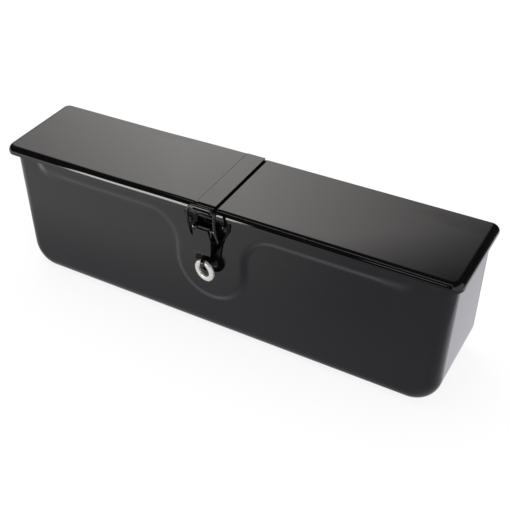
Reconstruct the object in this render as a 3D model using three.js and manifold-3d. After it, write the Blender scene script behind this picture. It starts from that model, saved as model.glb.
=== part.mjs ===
// A pressed steel tool box: an embossed tub, a lid in two hinged halves, and a wire bail latch.
// Millimetres, +Z up. The front faces -Y, and the origin is at the middle of the flat bottom.
import * as THREE from 'three';
import { mergeVertices } from 'three/addons/utils/BufferGeometryUtils.js';
import Module from 'manifold-3d';

const wasm = await Module();
wasm.setup();

// Sheet and clearances
const sheet = 1.2;
const seatGap = 0.3;
const runningGap = 0.4;
const overrun = 2;

// Tub
const tubLength = 470;
const tubLengthBottom = 459;
const tubHeight = 140;
const tubDepth = 84.6;
const tubDepthBottom = 95.6;
const tubCornerRadius = 28;
const tubFrontRadius = 14;
const rearFlangeWidth = 10;
const drainRadius = 3;
const drainFromEnd = 60;

// Back plate
const backSheet = 1.2;
const mountHoleRadius = 4.5;
const mountHoleFromEnd = 85;
const mountHoleLow = 38;
const mountHoleHigh = 92;

// Embossed panel on the front: a band along the rim with a round lobe behind the latch
const embossRise = 3;
const embossSlope = 7;
const bandFromEnd = 37;
const bandTopDrop = 4;
const bandBottomDrop = 16;
const bandCornerRadius = 5;
const lobeWidth = 73;
const lobeCentreDrop = 61;
const lobeFilletRadius = 31;

// Lid
const lidEndOverhang = 5;
const lidSheet = 1.2;
const lidFrontOverhang = 5.4;
const lidRearOverhang = 4.8;
const lidFlangeDrop = 7;
const lidBendRadius = 6.2;
const lidCornerRadius = 11;
const lidLift = 1.5;
const lapWidth = 20;
const lapOffset = -1;
const lapGap = 0.5;

// Hinges
const hingeWidth = 44;
const hingeFromCentre = 58;
const hingeFromEnd = 55;
const boxLeafThickness = 1.6;
const boxLeafHeight = 24;
const lidLeafThickness = 1.2;
const lidLeafLength = 24;
const knuckleRadius = 3;
const hingePinRadius = 1.5;
const hingePinHeadRadius = 2.4;
const hingePinHeadLength = 1;
const lidKnuckleShare = 0.36;
const axisInsideLidEdge = 0.65;

// Rivets
const rivetRadius = 1.6;
const rivetHeadRadius = 3.3;
const rivetHeadHeight = 1.7;
const rivetTailRadius = 2.6;
const rivetTailHeight = 0.9;
const hingeRivetSpacing = 26;
const hingeRivetDrop = 15;

// Latch base, riveted to the lobe. Heights are counted down the front wall from the rim.
const latchOffset = 2;
const baseThickness = 1.5;
const baseWingWidth = 49;
const baseWingTop = 5.5;
const baseWingSide = 17;
const baseWingBottom = 29;
const baseNeckWidth = 32;
const baseWaistWidth = 25;
const baseWaistDrop = 48;
const baseFootWidth = 29;
const baseFootDrop = 56;
const baseBottom = 58;
const baseRivetSpacing = 37;
const baseRivetDrop = 13.5;
const earThickness = 1.5;
const earRadius = 3.1;
const earFootLength = 14;

// Lever
const leverPivotDrop = 16.5;
const leverPivotOut = 9.2;
const leverPinRadius = 1.5;
const leverPinHeadRadius = 2.8;
const leverPinHeadLength = 1.2;
const leverThickness = 1.5;
const leverWidth = 19.8;
const leverTopWidth = 13;
const leverTopDrop = 15;
const leverChamfer = 10;
const leverTopOut = 13.4;
const leverBellyDrop = 38;
const leverBellyOut = 14.8;
const tongueWidth = 9;
const tongueStartDrop = 49;
const tongueEndDrop = 57;
const tongueOut = 7.6;
const leverCheekRadius = 3.9;
const bailCheekRadius = 3.2;

// Eye on the tongue, and the pull ring in it
const eyeDrop = 52;
const eyeOut = 12.1;
const eyeThickness = 3.2;
const eyeRadius = 4.6;
const eyeHoleRadius = 2.9;
const ringRadius = 9.1;
const ringWireRadius = 2.3;
const ringTurn = -Math.PI / 18;

// Bail
const bailWireRadius = 1.6;
const bailWidth = 28.5;
const bailPivotDrop = 28;
const bailPivotOut = 8.6;
const bailBarRise = 7;
const bailBarOut = 13;
const bailBow = 3.6;
const bailTopRadius = 6;
const bailFootRadius = 3;

// Keeper on the lap of the left lid: a leaf, a sloping arm and a shelf under the bail's bar
const keeperWidth = 18;
const keeperThickness = 1.5;
const keeperLeafHeight = 4.5;
const keeperShelfWidth = 4.6;
const keeperBarGap = 0.5;

// Steps in the rounds
const roundSteps = 6;
const bigRoundSteps = 10;
const wireSides = 10;
const holeSides = 16;

// Places worked out from the sizes above
const backFace = tubDepthBottom / 2;
const tubBack = backFace - backSheet;
const frontTop = backFace - tubDepth;
const frontBottom = backFace - tubDepthBottom;
const lean = Math.atan2(frontTop - frontBottom, tubHeight);
const lidLength = tubLength + 2 * lidEndOverhang;
const lidUnder = tubHeight + lidLift;
const lidTop = lidUnder + lidSheet;
const lidFront = frontTop - lidFrontOverhang;
const lidRear = backFace + lidRearOverhang;
const lapRaise = lidSheet + lapGap;
const lapLeft = lapOffset - lapWidth / 2;
const lapRight = lapOffset + lapWidth / 2;
const hingeAxisY = lidRear - axisInsideLidEdge;
const hingeAxisZ = lidUnder - seatGap - knuckleRadius;
const baseFace = embossRise + seatGap + baseThickness;
const cheekOutside = leverWidth / 2;
const cheekInside = cheekOutside - leverThickness;
const earOutside = cheekInside - runningGap;

// Materials
const paint = new THREE.MeshStandardMaterial({ color: 0x17181a, roughness: 0.22, metalness: 0.1 });
const plated = new THREE.MeshStandardMaterial({ color: 0xc9c7c2, roughness: 0.25, metalness: 1 });
const steel = new THREE.MeshStandardMaterial({ color: 0x6f7072, roughness: 0.4, metalness: 1 });

// Closed geometry to solid, with only shared positions left
function solid(geometry) {
  const source = geometry.clone();
  source.deleteAttribute('normal');
  source.deleteAttribute('uv');
  const merged = mergeVertices(source);
  return new wasm.Manifold(new wasm.Mesh({
    numProp: 3,
    vertProperties: new Float32Array(merged.attributes.position.array),
    triVerts: new Uint32Array(merged.index.array),
  }));
}

function geometryOf(body) {
  const { vertProperties, triVerts } = body.getMesh();
  const geometry = new THREE.BufferGeometry();
  geometry.setAttribute('position', new THREE.BufferAttribute(vertProperties, 3));
  geometry.setIndex(new THREE.BufferAttribute(triVerts, 1));
  geometry.computeVertexNormals();
  return geometry;
}

function cut(body, ...tools) {
  return tools.reduce((left, tool) => left.subtract(tool), body);
}

function join(body, ...others) {
  return others.reduce((left, other) => left.add(other), body);
}

// Corners of a convex outline after each side has moved inwards by its own distance
function insetCorners(corners, distances) {
  const sides = corners.map((corner, i) => {
    const along = corners[(i + 1) % corners.length].clone().sub(corner).normalize();
    const inward = new THREE.Vector2(-along.y, along.x);
    return { start: corner.clone().addScaledVector(inward, distances[i]), along };
  });
  return sides.map((side, i) => {
    const before = sides.at(i - 1);
    const reach = side.start.clone().sub(before.start).cross(side.along) / before.along.cross(side.along);
    return before.start.clone().addScaledVector(before.along, reach);
  });
}

// The same outline with an arc at each corner that has a radius
function roundCorners(corners, radii, steps = roundSteps) {
  return corners.flatMap((corner, i) => {
    if (radii[i] <= 0) return [corner.clone()];
    const toBefore = corners.at(i - 1).clone().sub(corner).normalize();
    const toNext = corners[(i + 1) % corners.length].clone().sub(corner).normalize();
    const half = toBefore.angleTo(toNext) / 2;
    const middle = toBefore.clone().add(toNext).normalize();
    const centre = corner.clone().addScaledVector(middle, radii[i] / Math.sin(half));
    const turn = Math.PI - 2 * half;
    const start = middle.clone().negate().rotateAround(new THREE.Vector2(), -turn / 2);
    return Array.from({ length: steps + 1 }, (_, step) => {
      const spoke = start.clone().rotateAround(new THREE.Vector2(), (turn * step) / steps);
      return centre.clone().addScaledVector(spoke, radii[i]);
    });
  });
}

// A solid through convex sections with the same number of points, closed at both ends
function loft(sections) {
  const count = sections[0].length;
  const positions = sections.flat().flatMap((point) => point.toArray());
  const index = [];
  for (let row = 0; row < sections.length - 1; row += 1) {
    for (let i = 0; i < count; i += 1) {
      const a = row * count + i;
      const b = row * count + ((i + 1) % count);
      index.push(a, b, b + count, a, b + count, a + count);
    }
  }
  const last = (sections.length - 1) * count;
  for (let i = 1; i < count - 1; i += 1) {
    index.push(0, i + 1, i, last, last + i, last + i + 1);
  }
  const geometry = new THREE.BufferGeometry();
  geometry.setAttribute('position', new THREE.Float32BufferAttribute(positions, 3));
  geometry.setIndex(index);
  if (solid(geometry).volume() < 0) geometry.setIndex(index.reverse());
  return solid(geometry);
}

// A shape in a plane, made a slab between two levels of the third direction
function slab(points, low, high, place) {
  return loft([low, high].map((level) => points.map((point) => place(point, level))));
}

const alongX = (point, level) => new THREE.Vector3(level, point.x, point.y);
const alongY = (point, level) => new THREE.Vector3(point.x, level, point.y);

// The front wall's own frame: x across, y up the wall from the rim, z out of the wall
const frontFrame = new THREE.Matrix4().makeBasis(
  new THREE.Vector3(1, 0, 0),
  new THREE.Vector3(0, Math.sin(lean), Math.cos(lean)),
  new THREE.Vector3(0, -Math.cos(lean), Math.sin(lean)),
).setPosition(latchOffset, frontTop, tubHeight);

function onFront(geometry) {
  return geometry.clone().applyMatrix4(frontFrame);
}

const frontAt = (z) => frontTop - (tubHeight - z) * Math.tan(lean);

// A cylinder along X, centred on a point
function rod(radius, length, x, y, z, sides = holeSides) {
  const geometry = new THREE.CylinderGeometry(radius, radius, length, sides);
  return geometry.rotateZ(Math.PI / 2).translate(x, y, z);
}

// A rivet along -Z from its seat: a domed head above, a shank, and a clinched tail below
function rivetProfile(grip) {
  const dome = Array.from({ length: roundSteps }, (_, step) => {
    const angle = (step / roundSteps) * (Math.PI / 2);
    return new THREE.Vector2(rivetHeadRadius * Math.cos(angle), rivetHeadHeight * Math.sin(angle));
  });
  const points = [
    new THREE.Vector2(0, -grip - rivetTailHeight),
    new THREE.Vector2(rivetTailRadius, -grip - rivetTailHeight),
    new THREE.Vector2(rivetTailRadius, -grip),
    new THREE.Vector2(rivetRadius, -grip),
    new THREE.Vector2(rivetRadius, 0),
    ...dome,
    new THREE.Vector2(0, rivetHeadHeight),
  ];
  return new THREE.LatheGeometry(points, holeSides).rotateX(Math.PI / 2);
}

// Tub

// The pan, open or closed, as sections from the front plane to the back. Along the front
// fillet each section is drawn in, and the front plane leans out towards the bottom.
function pan({ inset, topInset, back }) {
  const fillet = tubFrontRadius - inset;
  const sections = Array.from({ length: roundSteps + 1 }, (_, step) => {
    const angle = (step / roundSteps) * (Math.PI / 2);
    return { drawn: fillet * (1 - Math.sin(angle)), behind: fillet * (1 - Math.cos(angle)) };
  });
  const front = sections.map(({ drawn, behind }) => panOutline(inset + drawn, topInset).map((point) => (
    new THREE.Vector3(point.x, frontAt(point.y) + inset / Math.cos(lean) + behind, point.y))));
  const rear = panOutline(inset, topInset).map((point) => new THREE.Vector3(point.x, back, point.y));
  return loft([...front, rear]);
}

// The pan seen from the front: straight ends that draw in downwards, and two rounded corners
function panOutline(inset, topInset) {
  const corners = [
    new THREE.Vector2(-tubLength / 2, tubHeight),
    new THREE.Vector2(-tubLengthBottom / 2, 0),
    new THREE.Vector2(tubLengthBottom / 2, 0),
    new THREE.Vector2(tubLength / 2, tubHeight),
  ];
  const radius = tubCornerRadius - inset;
  return roundCorners(
    insetCorners(corners, [inset, inset, inset, topInset]),
    [0, radius, radius, 0],
    bigRoundSteps,
  );
}

// The outline of the raised panel, halfway up its slope
function embossShape() {
  const lobe = lobeWidth / 2;
  const left = bandFromEnd - tubLength / 2 - latchOffset;
  const right = tubLength / 2 - bandFromEnd - latchOffset;
  const low = -bandBottomDrop;
  const high = -bandTopDrop;
  const filletCentre = lobe + lobeFilletRadius;
  const shape = new THREE.Shape();
  shape.moveTo(left, high);
  shape.lineTo(left, low + bandCornerRadius);
  shape.absarc(left + bandCornerRadius, low + bandCornerRadius, bandCornerRadius, Math.PI, 1.5 * Math.PI);
  shape.lineTo(-filletCentre, low);
  shape.absarc(-filletCentre, low - lobeFilletRadius, lobeFilletRadius, Math.PI / 2, 0, true);
  shape.absarc(0, -lobeCentreDrop, lobe, Math.PI, 2 * Math.PI);
  shape.absarc(filletCentre, low - lobeFilletRadius, lobeFilletRadius, Math.PI, Math.PI / 2, true);
  shape.lineTo(right - bandCornerRadius, low);
  shape.absarc(
    right - bandCornerRadius, low + bandCornerRadius, bandCornerRadius, 1.5 * Math.PI, 2 * Math.PI,
  );
  shape.lineTo(right, high);
  shape.closePath();
  return shape;
}

// The panel as a solid whose face lies at a height above the wall, with sloping sides
function embossBody(face, offset, behind) {
  const geometry = new THREE.ExtrudeGeometry(embossShape(), {
    depth: behind,
    curveSegments: bigRoundSteps,
    bevelEnabled: true,
    bevelThickness: embossRise,
    bevelSize: embossSlope,
    bevelOffset: offset - embossSlope / 2,
    bevelSegments: 1,
  });
  return solid(onFront(geometry.translate(0, 0, face - embossRise - behind)));
}

// A block in front of the middle of the wall's sheet, which keeps the panel out of the tub
function outsideWall() {
  const geometry = new THREE.BoxGeometry(2 * tubLength, 2 * tubHeight, tubFrontRadius);
  return solid(onFront(geometry.translate(0, 0, (tubFrontRadius - sheet) / 2)));
}

function frontHole(radius, x, drop) {
  const geometry = new THREE.CylinderGeometry(radius, radius, tubFrontRadius, holeSides);
  return solid(onFront(geometry.rotateX(Math.PI / 2).translate(x, -drop, 0)));
}

function buildTub() {
  const outside = pan({ inset: 0, topInset: 0, back: tubBack });
  const inside = pan({ inset: sheet, topInset: -overrun, back: tubBack - sheet });
  const window = slab(
    panOutline(sheet + rearFlangeWidth, -overrun),
    tubBack - sheet - overrun,
    tubBack + overrun,
    alongY,
  );
  const raised = embossBody(embossRise, 0, tubFrontRadius)
    .intersect(outsideWall());
  const hollow = embossBody(embossRise - sheet, -sheet, tubFrontRadius);
  const drains = [-1, 1].map((side) => {
    const geometry = new THREE.CylinderGeometry(drainRadius, drainRadius, 2 * (sheet + overrun), holeSides);
    return solid(geometry.rotateX(Math.PI / 2).translate(side * (tubLengthBottom / 2 - drainFromEnd), 0, 0));
  });
  const rivetHoles = [-1, 1].map((side) => (
    frontHole(rivetRadius + seatGap, (side * baseRivetSpacing) / 2, baseRivetDrop)));
  return cut(join(cut(outside, inside, window), raised), hollow, ...drains, ...rivetHoles);
}

// Back plate

const hingePlaces = [-1, 1].flatMap((side) => (
  [hingeFromCentre, tubLength / 2 - hingeFromEnd].map((x) => ({ side, x: side * x }))));

const rivetPlaces = hingePlaces.flatMap(({ x }) => [-1, 1].map((side) => x + (side * hingeRivetSpacing) / 2));

function backHole(radius, x, z) {
  const geometry = new THREE.CylinderGeometry(radius, radius, 2 * tubDepth, holeSides);
  return solid(geometry.translate(x, backFace, z));
}

function buildBackPlate() {
  const plate = slab(panOutline(0, 0), tubBack, backFace, alongY);
  const mountHoles = [-1, 1].flatMap((side) => [mountHoleLow, mountHoleHigh].map((z) => (
    backHole(mountHoleRadius, side * (tubLength / 2 - mountHoleFromEnd), z))));
  const rivetHoles = rivetPlaces.map((x) => backHole(rivetRadius + seatGap, x, hingeAxisZ - hingeRivetDrop));
  return cut(plate, ...mountHoles, ...rivetHoles);
}

// Lids

// One half of the lid as a block: the front and the outer end bend down in a quarter round,
// and the rear and the centre are cut straight.
function lidBlock({ centre, inset, openInset, top, edge }) {
  const corners = [
    new THREE.Vector2(centre, lidFront),
    new THREE.Vector2(lidLength / 2, lidFront),
    new THREE.Vector2(lidLength / 2, lidRear),
    new THREE.Vector2(centre, lidRear),
  ];
  const radius = lidBendRadius - inset;
  const outline = (drawn, z) => {
    const distance = inset + drawn;
    const drawnCorners = insetCorners(corners, [distance, distance, openInset, openInset]);
    const rounded = roundCorners(drawnCorners, [0, lidCornerRadius - distance, 0, 0]);
    return rounded.map((point) => new THREE.Vector3(point.x, point.y, z));
  };
  const bend = Array.from({ length: roundSteps + 1 }, (_, step) => {
    const angle = (step / roundSteps) * (Math.PI / 2);
    return outline(radius * (1 - Math.cos(angle)), top - radius * (1 - Math.sin(angle)));
  });
  return loft([outline(0, edge), ...bend]);
}

function lidHalf(centre) {
  const edge = lidTop - lidFlangeDrop;
  const outside = lidBlock({ centre, inset: 0, openInset: 0, top: lidTop, edge });
  const inside = lidBlock({
    centre, inset: lidSheet, openInset: -overrun, top: lidUnder, edge: edge - overrun,
  });
  return cut(outside, inside);
}

// The lid's section across its depth, as a slab along X
function lidSection({ left, right, inset, raise, edge }) {
  const radius = lidBendRadius + raise - inset;
  const front = lidFront - raise + inset;
  const rear = inset > 0 ? lidRear + overrun : lidRear;
  const top = lidTop + raise - inset;
  const corners = [
    new THREE.Vector2(front, edge),
    new THREE.Vector2(rear, edge),
    new THREE.Vector2(rear, top),
    new THREE.Vector2(front, top),
  ];
  return slab(roundCorners(corners, [0, 0, 0, radius]), left, right, alongX);
}

// The lap: a strip of the left lid, stepped up and out by one sheet and a gap
function buildLeftLid() {
  const edge = lidTop - lidFlangeDrop;
  const half = lidHalf(-lapLeft).mirror([1, 0, 0]);
  const strip = lidSection({ left: lapLeft - lidSheet, right: lapRight, inset: 0, raise: lapRaise, edge });
  const underStrip = lidSection({
    left: lapLeft, right: lapRight + overrun, inset: lidSheet, raise: lapRaise, edge: edge - overrun,
  });
  const underHalf = lidSection({
    left: lapLeft - tubCornerRadius,
    right: lapRight + overrun,
    inset: lidSheet,
    raise: 0,
    edge: edge - overrun,
  });
  return cut(join(half, strip), underStrip, underHalf);
}

// Hinges

const knuckleLength = hingeWidth * lidKnuckleShare;

function knuckle(x, length) {
  return solid(rod(knuckleRadius, length, x, hingeAxisY, hingeAxisZ));
}

function hingeBore(x) {
  return solid(rod(hingePinRadius + seatGap, 2 * hingeWidth, x, hingeAxisY, hingeAxisZ));
}

function rectangle(left, right, low, high) {
  return [
    new THREE.Vector2(left, low),
    new THREE.Vector2(right, low),
    new THREE.Vector2(right, high),
    new THREE.Vector2(left, high),
  ];
}

function buildBoxLeaf(x) {
  const plate = slab(
    rectangle(backFace, backFace + boxLeafThickness, hingeAxisZ - boxLeafHeight, hingeAxisZ),
    x - hingeWidth / 2,
    x + hingeWidth / 2,
    alongX,
  );
  const endLength = (hingeWidth - knuckleLength) / 2 - runningGap;
  const knuckles = [-1, 1].map((side) => knuckle(x + (side * (hingeWidth - endLength)) / 2, endLength));
  const notchLength = knuckleLength + 2 * runningGap;
  const notch = solid(rod(knuckleRadius + runningGap, notchLength, x, hingeAxisY, hingeAxisZ));
  const holes = [-1, 1].map((side) => (
    backHole(rivetRadius + seatGap, x + (side * hingeRivetSpacing) / 2, hingeAxisZ - hingeRivetDrop)));
  return cut(join(plate, ...knuckles), notch, hingeBore(x), ...holes);
}

function buildLidLeaf(x) {
  const plate = slab(
    rectangle(hingeAxisY - lidLeafLength, hingeAxisY, lidUnder - lidLeafThickness, lidUnder),
    x - knuckleLength / 2,
    x + knuckleLength / 2,
    alongX,
  );
  const wingRear = tubBack - sheet - rearFlangeWidth / 2;
  const wing = slab(
    rectangle(hingeAxisY - lidLeafLength, wingRear, lidUnder - lidLeafThickness, lidUnder),
    x - hingeWidth / 2,
    x + hingeWidth / 2,
    alongX,
  );
  return cut(join(plate, wing, knuckle(x, knuckleLength)), hingeBore(x));
}

function buildHingePin(x) {
  const shank = solid(rod(hingePinRadius, hingeWidth + 2 * seatGap, x, hingeAxisY, hingeAxisZ));
  const headPlace = (hingeWidth + hingePinHeadLength) / 2 + seatGap;
  const heads = [-1, 1].map((side) => (
    solid(rod(hingePinHeadRadius, hingePinHeadLength, x + side * headPlace, hingeAxisY, hingeAxisZ))));
  return join(shank, ...heads);
}

// Latch base: a winged plate with two ears that carry the lever's pin

function buildLatchBase() {
  const halfWidths = [
    [baseWingWidth, baseWingTop],
    [baseWingWidth - 2 * baseThickness, baseWingSide],
    [baseNeckWidth, baseWingBottom],
    [baseWaistWidth, baseWaistDrop],
    [baseFootWidth, baseFootDrop],
    [baseFootWidth - 4 * baseThickness, baseBottom],
  ].map(([width, drop]) => new THREE.Vector2(width / 2, -drop));
  const shape = new THREE.Shape([
    ...halfWidths,
    ...halfWidths.map((point) => new THREE.Vector2(-point.x, point.y)).reverse(),
  ]);
  const geometry = new THREE.ExtrudeGeometry(shape, { depth: baseThickness, bevelEnabled: false });
  const plate = solid(geometry.translate(0, 0, embossRise + seatGap));
  const ears = [-1, 1].map((side) => solid(sidePlate(earShape(), earThickness, side * earOutside)));
  const pinHole = solid(rod(leverPinRadius + seatGap, 2 * leverWidth, 0, -leverPivotDrop, leverPivotOut));
  const rivetHoles = [-1, 1].map((side) => {
    const x = (side * baseRivetSpacing) / 2;
    const hole = new THREE.CylinderGeometry(
      rivetRadius + seatGap, rivetRadius + seatGap, 2 * baseFace, holeSides,
    );
    return solid(hole.rotateX(Math.PI / 2).translate(x, -baseRivetDrop, baseFace));
  });
  return cut(join(plate, ...ears), pinHole, ...rivetHoles);
}

// A plate across the wall's frame, drawn as out and up, with its outer face at an x
function sidePlate(shape, thickness, face) {
  const geometry = new THREE.ExtrudeGeometry(shape, {
    depth: thickness, curveSegments: roundSteps, bevelEnabled: false,
  });
  geometry.applyMatrix4(new THREE.Matrix4().makeBasis(
    new THREE.Vector3(0, 0, 1), new THREE.Vector3(0, 1, 0), new THREE.Vector3(-1, 0, 0),
  ));
  return geometry.translate(face > 0 ? face : face + thickness, 0, 0);
}

// An ear slants up from its foot, so that the lever's top edge can swing in over it
function earShape() {
  const shape = new THREE.Shape();
  shape.moveTo(baseFace - baseThickness / 2, -leverPivotDrop);
  shape.lineTo(baseFace - baseThickness / 2, -leverPivotDrop - earFootLength);
  shape.absarc(leverPivotOut, -leverPivotDrop, earRadius, -Math.PI / 3, (5 / 6) * Math.PI);
  shape.closePath();
  return shape;
}

// Lever: a bent plate with two cheeks, a tongue below, and an eye for the ring

// The plate's middle line, as out and up
function leverLine() {
  const line = new THREE.CurvePath();
  const top = new THREE.Vector2(leverTopOut, -leverTopDrop);
  const belly = new THREE.Vector2(leverBellyOut, -leverBellyDrop);
  const tongueStart = new THREE.Vector2(tongueOut, -tongueStartDrop);
  const tongueEnd = new THREE.Vector2(tongueOut, -tongueEndDrop);
  const bellyEnd = new THREE.Vector2(leverBellyOut, (belly.y + tongueStart.y) / 2);
  const tongueBend = new THREE.Vector2(tongueOut, (belly.y + tongueStart.y) / 2);
  line.add(new THREE.LineCurve(top, belly));
  line.add(new THREE.CubicBezierCurve(belly, bellyEnd, tongueBend, tongueStart));
  line.add(new THREE.LineCurve(tongueStart, tongueEnd));
  return line;
}

function leverRibbon() {
  const points = leverLine().curves.flatMap((curve, i) => {
    const steps = curve.isLineCurve ? 1 : bigRoundSteps;
    return curve.getPoints(steps).slice(i > 0 ? 1 : 0);
  });
  const side = (sign) => points.map((point, i) => {
    const before = points[Math.max(i - 1, 0)];
    const after = points[Math.min(i + 1, points.length - 1)];
    const along = after.clone().sub(before).normalize();
    const across = new THREE.Vector2(-along.y, along.x);
    return point.clone().addScaledVector(across, (sign * leverThickness) / 2);
  });
  return new THREE.Shape([...side(1), ...side(-1).reverse()]);
}

// The lever seen from the front: clipped top corners, then the body, then the tongue
function leverFace() {
  const half = leverWidth / 2;
  const tongue = tongueWidth / 2;
  const shape = new THREE.Shape();
  shape.moveTo(-leverTopWidth / 2, overrun - leverTopDrop);
  shape.lineTo(-leverTopWidth / 2, -leverTopDrop);
  shape.lineTo(-half, -leverTopDrop - leverChamfer);
  shape.lineTo(-half, -leverBellyDrop);
  shape.quadraticCurveTo(-half, -tongueStartDrop + leverChamfer, -tongue, -tongueStartDrop);
  shape.lineTo(-tongue, -tongueEndDrop + tongue);
  shape.absarc(0, -tongueEndDrop + tongue, tongue, Math.PI, 2 * Math.PI);
  shape.lineTo(tongue, -tongueStartDrop);
  shape.quadraticCurveTo(half, -tongueStartDrop + leverChamfer, half, -leverBellyDrop);
  shape.lineTo(half, -leverTopDrop - leverChamfer);
  shape.lineTo(leverTopWidth / 2, -leverTopDrop);
  shape.lineTo(leverTopWidth / 2, overrun - leverTopDrop);
  shape.closePath();
  return shape;
}

// A cheek runs round the lever's pin and the bail's pivot, and meets the plate below its clipped corner
function cheekShape() {
  const pin = new THREE.Vector2(leverPivotOut, -leverPivotDrop);
  const pivot = new THREE.Vector2(bailPivotOut, -bailPivotDrop);
  const slope = (leverBellyOut - leverTopOut) / (leverBellyDrop - leverTopDrop);
  const plateOut = (drop) => leverTopOut + (drop - leverTopDrop) * slope;
  const shape = new THREE.Shape();
  const upper = leverTopDrop + leverChamfer;
  shape.moveTo(plateOut(upper), -upper);
  shape.absarc(pin.x, pin.y, leverCheekRadius, 0, Math.PI);
  shape.absarc(pivot.x, pivot.y, bailCheekRadius, Math.PI, 1.5 * Math.PI);
  shape.lineTo(plateOut(leverBellyDrop), -leverBellyDrop);
  shape.closePath();
  return shape;
}

function eyeShape() {
  const shape = new THREE.Shape();
  shape.moveTo(tongueOut, -eyeDrop + eyeRadius);
  shape.lineTo(tongueOut, -eyeDrop - eyeRadius);
  shape.absarc(eyeOut, -eyeDrop, eyeRadius, -Math.PI / 2, Math.PI / 2);
  shape.closePath();
  return shape;
}

function buildLever() {
  const ribbon = solid(sidePlate(leverRibbon(), leverWidth, leverWidth / 2));
  const face = solid(new THREE.ExtrudeGeometry(leverFace(), {
    depth: 2 * leverBellyOut, curveSegments: roundSteps, bevelEnabled: false,
  }));
  const cheeks = [-1, 1].map((side) => solid(sidePlate(cheekShape(), leverThickness, side * cheekOutside)));
  const eye = solid(sidePlate(eyeShape(), eyeThickness, eyeThickness / 2));
  const pinHole = solid(rod(leverPinRadius + seatGap, 2 * leverWidth, 0, -leverPivotDrop, leverPivotOut));
  const bailHole = solid(rod(bailWireRadius + seatGap, 2 * leverWidth, 0, -bailPivotDrop, bailPivotOut));
  const ringHole = solid(rod(eyeHoleRadius, 2 * eyeThickness, 0, -eyeDrop, eyeOut));
  return cut(join(ribbon.intersect(face), ...cheeks, eye), pinHole, bailHole, ringHole);
}

function buildLeverPin() {
  const length = leverWidth + 2 * seatGap;
  const shank = solid(rod(leverPinRadius, length, 0, -leverPivotDrop, leverPivotOut));
  const headPlace = (length + leverPinHeadLength) / 2;
  const heads = [-1, 1].map((side) => (
    solid(rod(leverPinHeadRadius, leverPinHeadLength, side * headPlace, -leverPivotDrop, leverPivotOut))));
  return join(shank, ...heads);
}

// Bail: one wire, in at a cheek, up, across over the keeper, down, and in at the other cheek
function buildBail() {
  const half = bailWidth / 2;
  const end = cheekInside - runningGap;
  const low = -bailPivotDrop;
  const route = new THREE.Path();
  route.moveTo(-end, low);
  route.lineTo(-half + bailFootRadius, low);
  route.absarc(-half + bailFootRadius, low + bailFootRadius, bailFootRadius, -Math.PI / 2, -Math.PI, true);
  route.lineTo(-half, bailBarRise - bailTopRadius);
  route.absarc(-half + bailTopRadius, bailBarRise - bailTopRadius, bailTopRadius, Math.PI, Math.PI / 2, true);
  route.lineTo(half - bailTopRadius, bailBarRise);
  route.absarc(half - bailTopRadius, bailBarRise - bailTopRadius, bailTopRadius, Math.PI / 2, 0, true);
  route.lineTo(half, low + bailFootRadius);
  route.absarc(half - bailFootRadius, low + bailFootRadius, bailFootRadius, 0, -Math.PI / 2, true);
  route.lineTo(end, low);
  const bowed = route.getSpacedPoints(8 * bigRoundSteps).map((point) => {
    const share = (point.y - low) / (bailBarRise - low);
    const straight = THREE.MathUtils.lerp(bailPivotOut, bailBarOut, share);
    return new THREE.Vector3(point.x, point.y, straight + bailBow * Math.sin(Math.PI * share));
  });
  const section = new THREE.Shape().absarc(0, 0, bailWireRadius, 0, 2 * Math.PI);
  return solid(new THREE.ExtrudeGeometry(section, {
    steps: 8 * bigRoundSteps,
    curveSegments: wireSides / 2,
    bevelEnabled: false,
    extrudePath: new THREE.CatmullRomCurve3(bowed),
  }));
}

// Pull ring, hanging plumb from the eye
function buildRing() {
  const eye = new THREE.Vector3(0, -eyeDrop, eyeOut).applyMatrix4(frontFrame);
  const geometry = new THREE.TorusGeometry(ringRadius, ringWireRadius, wireSides, 4 * wireSides);
  return geometry.rotateX(Math.PI / 2).rotateZ(ringTurn).translate(eye.x, eye.y, eye.z - ringRadius);
}

// Keeper: its leaf lies on the front of the lap, and its arm slopes out to a shelf under the bail's bar
function buildKeeper() {
  const bar = new THREE.Vector3(0, bailBarRise, bailBarOut).applyMatrix4(frontFrame);
  const shelfTop = bar.z - bailWireRadius - keeperBarGap;
  const shelfInner = bar.y + keeperShelfWidth / 2;
  const shelfOuter = bar.y - keeperShelfWidth / 2;
  const leafFace = lidFront - lapRaise;
  const leafFront = leafFace - keeperThickness;
  const leafLow = lidTop - lidFlangeDrop;
  const leafHigh = leafLow + keeperLeafHeight;
  const points = [
    new THREE.Vector2(leafFace, leafLow),
    new THREE.Vector2(leafFace, leafHigh),
    new THREE.Vector2(shelfInner, shelfTop),
    new THREE.Vector2(shelfOuter, shelfTop),
    new THREE.Vector2(shelfOuter, shelfTop - keeperThickness),
    new THREE.Vector2(shelfInner - keeperThickness / 2, shelfTop - keeperThickness),
    new THREE.Vector2(leafFront, leafHigh - keeperThickness),
    new THREE.Vector2(leafFront, leafLow),
  ];
  const geometry = new THREE.ExtrudeGeometry(new THREE.Shape(points), {
    depth: keeperWidth, bevelEnabled: false,
  });
  geometry.applyMatrix4(new THREE.Matrix4().makeBasis(
    new THREE.Vector3(0, 1, 0), new THREE.Vector3(0, 0, 1), new THREE.Vector3(1, 0, 0),
  ));
  return geometry.translate(latchOffset - keeperWidth / 2, 0, 0);
}

// The assembly
const toolBox = new THREE.Group();
const latch = new THREE.Group();
latch.applyMatrix4(frontFrame);
toolBox.add(latch);

function addPart(parent, name, shape, material) {
  const geometry = shape.isBufferGeometry ? shape : geometryOf(shape);
  const mesh = new THREE.Mesh(geometry, material);
  mesh.name = name;
  parent.add(mesh);
  return mesh;
}

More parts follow.
